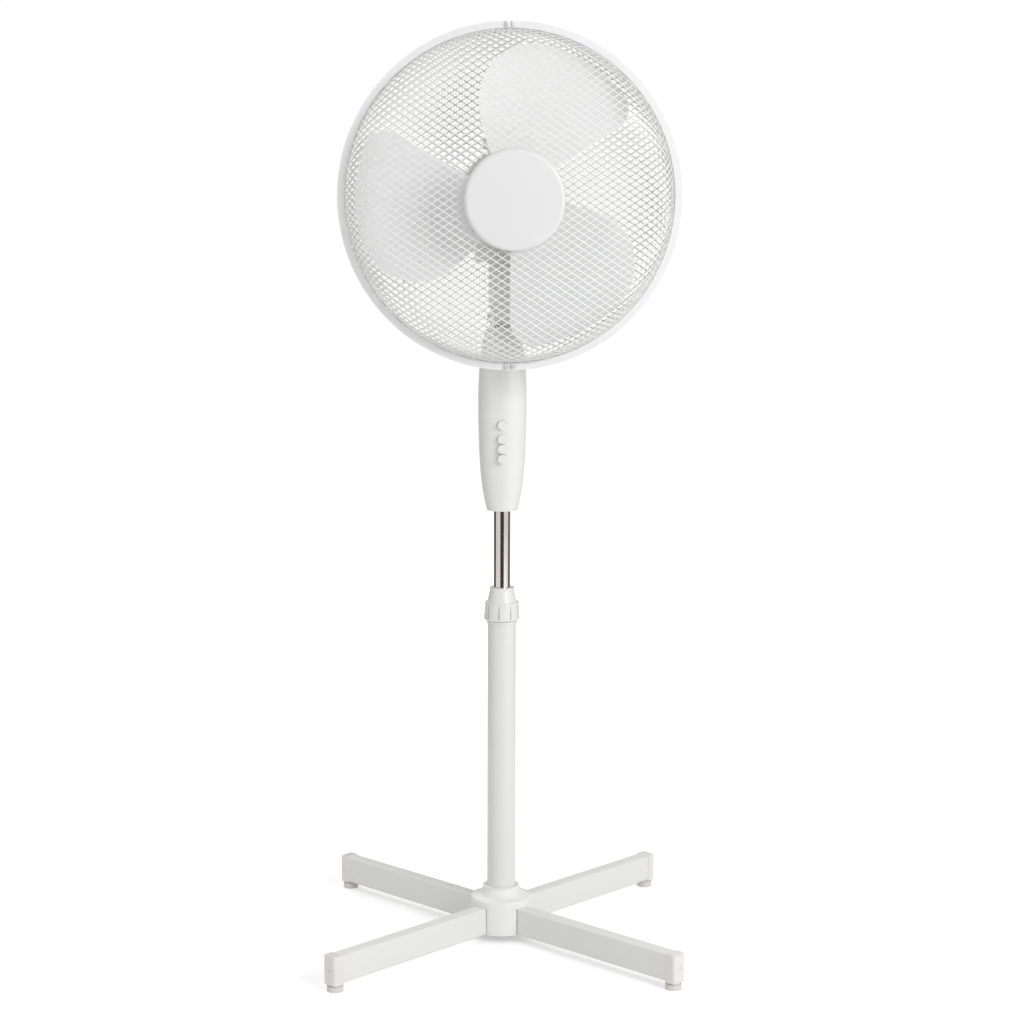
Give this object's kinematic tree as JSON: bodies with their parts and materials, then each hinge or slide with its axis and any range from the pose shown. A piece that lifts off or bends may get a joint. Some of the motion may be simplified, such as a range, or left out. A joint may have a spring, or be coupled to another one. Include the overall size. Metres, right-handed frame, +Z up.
{
  "type": "pedestal fan",
  "caption": "White pedestal fan with a cross base, telescopic pole, push-button housing and a tilting, swinging head in a round diamond-mesh guard.",
  "frame": {"origin": "on the floor under the middle of the cross base, at the bottom of the feet", "axes": "+Z up along the pole, the fan blows towards -Y, +X is the viewer's right when the fan is seen from the front"},
  "size_m": [0.467, 0.467, 1.2114],
  "materials": {
    "white_paint": "gloss white powder coat",
    "white_plastic": "satin white moulded plastic",
    "button_plastic": "glossy white moulded plastic",
    "blade_plastic": "milky white moulded plastic",
    "ring_plastic": "pale translucent white plastic",
    "guard_paint": "white coated steel mesh",
    "chrome_tube": "bright chrome plating",
    "zinc_steel": "zinc plated steel",
    "shaft_steel": "ground steel",
    "foot_rubber": "light grey rubber",
    "gland_rubber": "pale grey rubber",
    "inner_plastic": "matt grey engineering plastic",
    "switch_plastic": "matt black plastic",
    "bearing_bronze": "oil filled bronze",
    "cast_alloy": "die cast alloy",
    "lamination_steel": "stacked steel sheet",
    "winding_copper": "varnished copper wire"
  },
  "bodies": {
    "stand": {"leg_tube_lower": "white_paint", "leg_tube_upper": "white_paint", "leg_end_caps": "white_plastic", "leg_feet": "foot_rubber", "base_cover": "white_plastic", "pole_flange": "zinc_steel", "base_bolts": "zinc_steel", "outer_pole": "white_paint", "clamp_sleeve": "white_plastic"},
    "collar": {"height_collar": "white_plastic"},
    "carriage": {"inner_pole": "chrome_tube", "pole_guide": "inner_plastic", "pole_socket": "inner_plastic", "pole_screw": "zinc_steel", "control_front_cover": "white_plastic", "control_rear_cover": "white_plastic", "cover_screws": "zinc_steel", "switch_block": "switch_plastic", "cord_gland": "gland_rubber", "tilt_fork": "white_plastic", "tilt_bolt": "zinc_steel"},
    "off_key": {"button_off": "button_plastic"},
    "low_key": {"button_low": "button_plastic"},
    "medium_key": {"button_medium": "button_plastic"},
    "high_key": {"button_high": "button_plastic"},
    "tilt_grip": {"tilt_knob": "white_plastic"},
    "neck": {"neck_column": "white_plastic", "swivel_bush": "bearing_bronze"},
    "head": {"pivot_shaft": "shaft_steel", "swivel_yoke": "cast_alloy", "motor_front_bracket": "cast_alloy", "motor_rear_bracket": "cast_alloy", "front_bearing": "bearing_bronze", "rear_bearing": "bearing_bronze", "motor_bolts": "zinc_steel", "stator_core": "lamination_steel", "stator_windings": "winding_copper", "gearbox_case": "inner_plastic", "motor_front_cover": "white_plastic", "motor_rear_cover": "white_plastic", "rear_guard": "guard_paint", "rear_guard_plate": "guard_paint", "guard_nut": "white_plastic", "guard_ring_left": "ring_plastic", "guard_ring_right": "ring_plastic", "ring_screws": "zinc_steel", "front_guard": "guard_paint", "front_guard_plate": "guard_paint", "front_cap": "white_plastic"},
    "link": {"swing_link": "zinc_steel"},
    "crank": {"swing_crank": "inner_plastic"},
    "rotor": {"motor_shaft": "shaft_steel", "rotor_core": "lamination_steel", "fan_blade": "blade_plastic", "blade_nut": "white_plastic"},
    "wheel": {"worm_wheel": "inner_plastic"},
    "swing_grip": {"swing_knob": "white_plastic"}
  },
  "joints": [
    {"name": "collar_turn", "type": "hinge", "parent": "stand", "child": "collar", "pos_m": [0, 0, 0.45], "axis": [0, 0, 1], "range_deg": [0, 270]},
    {"name": "height_slide", "type": "slide", "parent": "stand", "child": "carriage", "axis": [0, 0, 1], "range_m": [-0.1, 0.13]},
    {"name": "off_press", "type": "slide", "parent": "carriage", "child": "off_key", "axis": [0, 1, 0], "range_m": [0, 0.004], "stiffness_N_per_m": 800},
    {"name": "low_press", "type": "slide", "parent": "carriage", "child": "low_key", "axis": [0, 1, 0], "range_m": [0, 0.004], "stiffness_N_per_m": 800},
    {"name": "medium_press", "type": "slide", "parent": "carriage", "child": "medium_key", "axis": [0, 1, 0], "range_m": [0, 0.004], "stiffness_N_per_m": 800},
    {"name": "high_press", "type": "slide", "parent": "carriage", "child": "high_key", "axis": [0, 1, 0], "range_m": [0, 0.004], "stiffness_N_per_m": 800},
    {"name": "tilt_knob_turn", "type": "hinge", "parent": "carriage", "child": "tilt_grip", "pos_m": [0.026, 0, 0.842], "axis": [1, 0, 0], "range_deg": [0, 270]},
    {"name": "head_tilt", "type": "hinge", "parent": "carriage", "child": "neck", "pos_m": [0, 0, 0.842], "axis": [1, 0, 0], "range_deg": [-28, 9]},
    {"name": "head_swing", "type": "hinge", "parent": "neck", "child": "head", "pos_m": [0, -0.00398, 0.9179], "axis": [0, -0.0523, 0.9986], "range_deg": [-45, 35]},
    {"name": "link_swing", "type": "hinge", "parent": "neck", "child": "link", "pos_m": [0.015, -0.00406, 0.91939], "axis": [0, -0.0523, 0.9986], "range_deg": [-45, 35]},
    {"name": "crank_turn", "type": "hinge", "parent": "head", "child": "crank", "pos_m": [0.00379, 0.04814, 0.92714], "axis": [0, -0.0523, 0.9986], "range_deg": [-80, 103]},
    {"name": "blade_spin", "type": "hinge", "parent": "head", "child": "rotor", "pos_m": [0, -0.00832, 1.00078], "axis": [-0.0872, 0.9948, 0.0521], "continuous": true},
    {"name": "worm_wheel_spin", "type": "hinge", "parent": "head", "child": "wheel", "pos_m": [-0.01692, 0.04734, 1.0037], "axis": [0, -0.0523, 0.9986], "continuous": true},
    {"name": "swing_knob_slide", "type": "slide", "parent": "head", "child": "swing_grip", "axis": [0, -0.0523, 0.9986], "range_m": [0, 0.008]}
  ],
  "couplings": [
    {"joint": "link_swing", "follows": "head_swing", "ratio": 1},
    {"joint": "crank_turn", "follows": "head_swing", "ratio": -2.25},
    {"joint": "worm_wheel_spin", "follows": "blade_spin", "ratio": 0.041667}
  ]
}
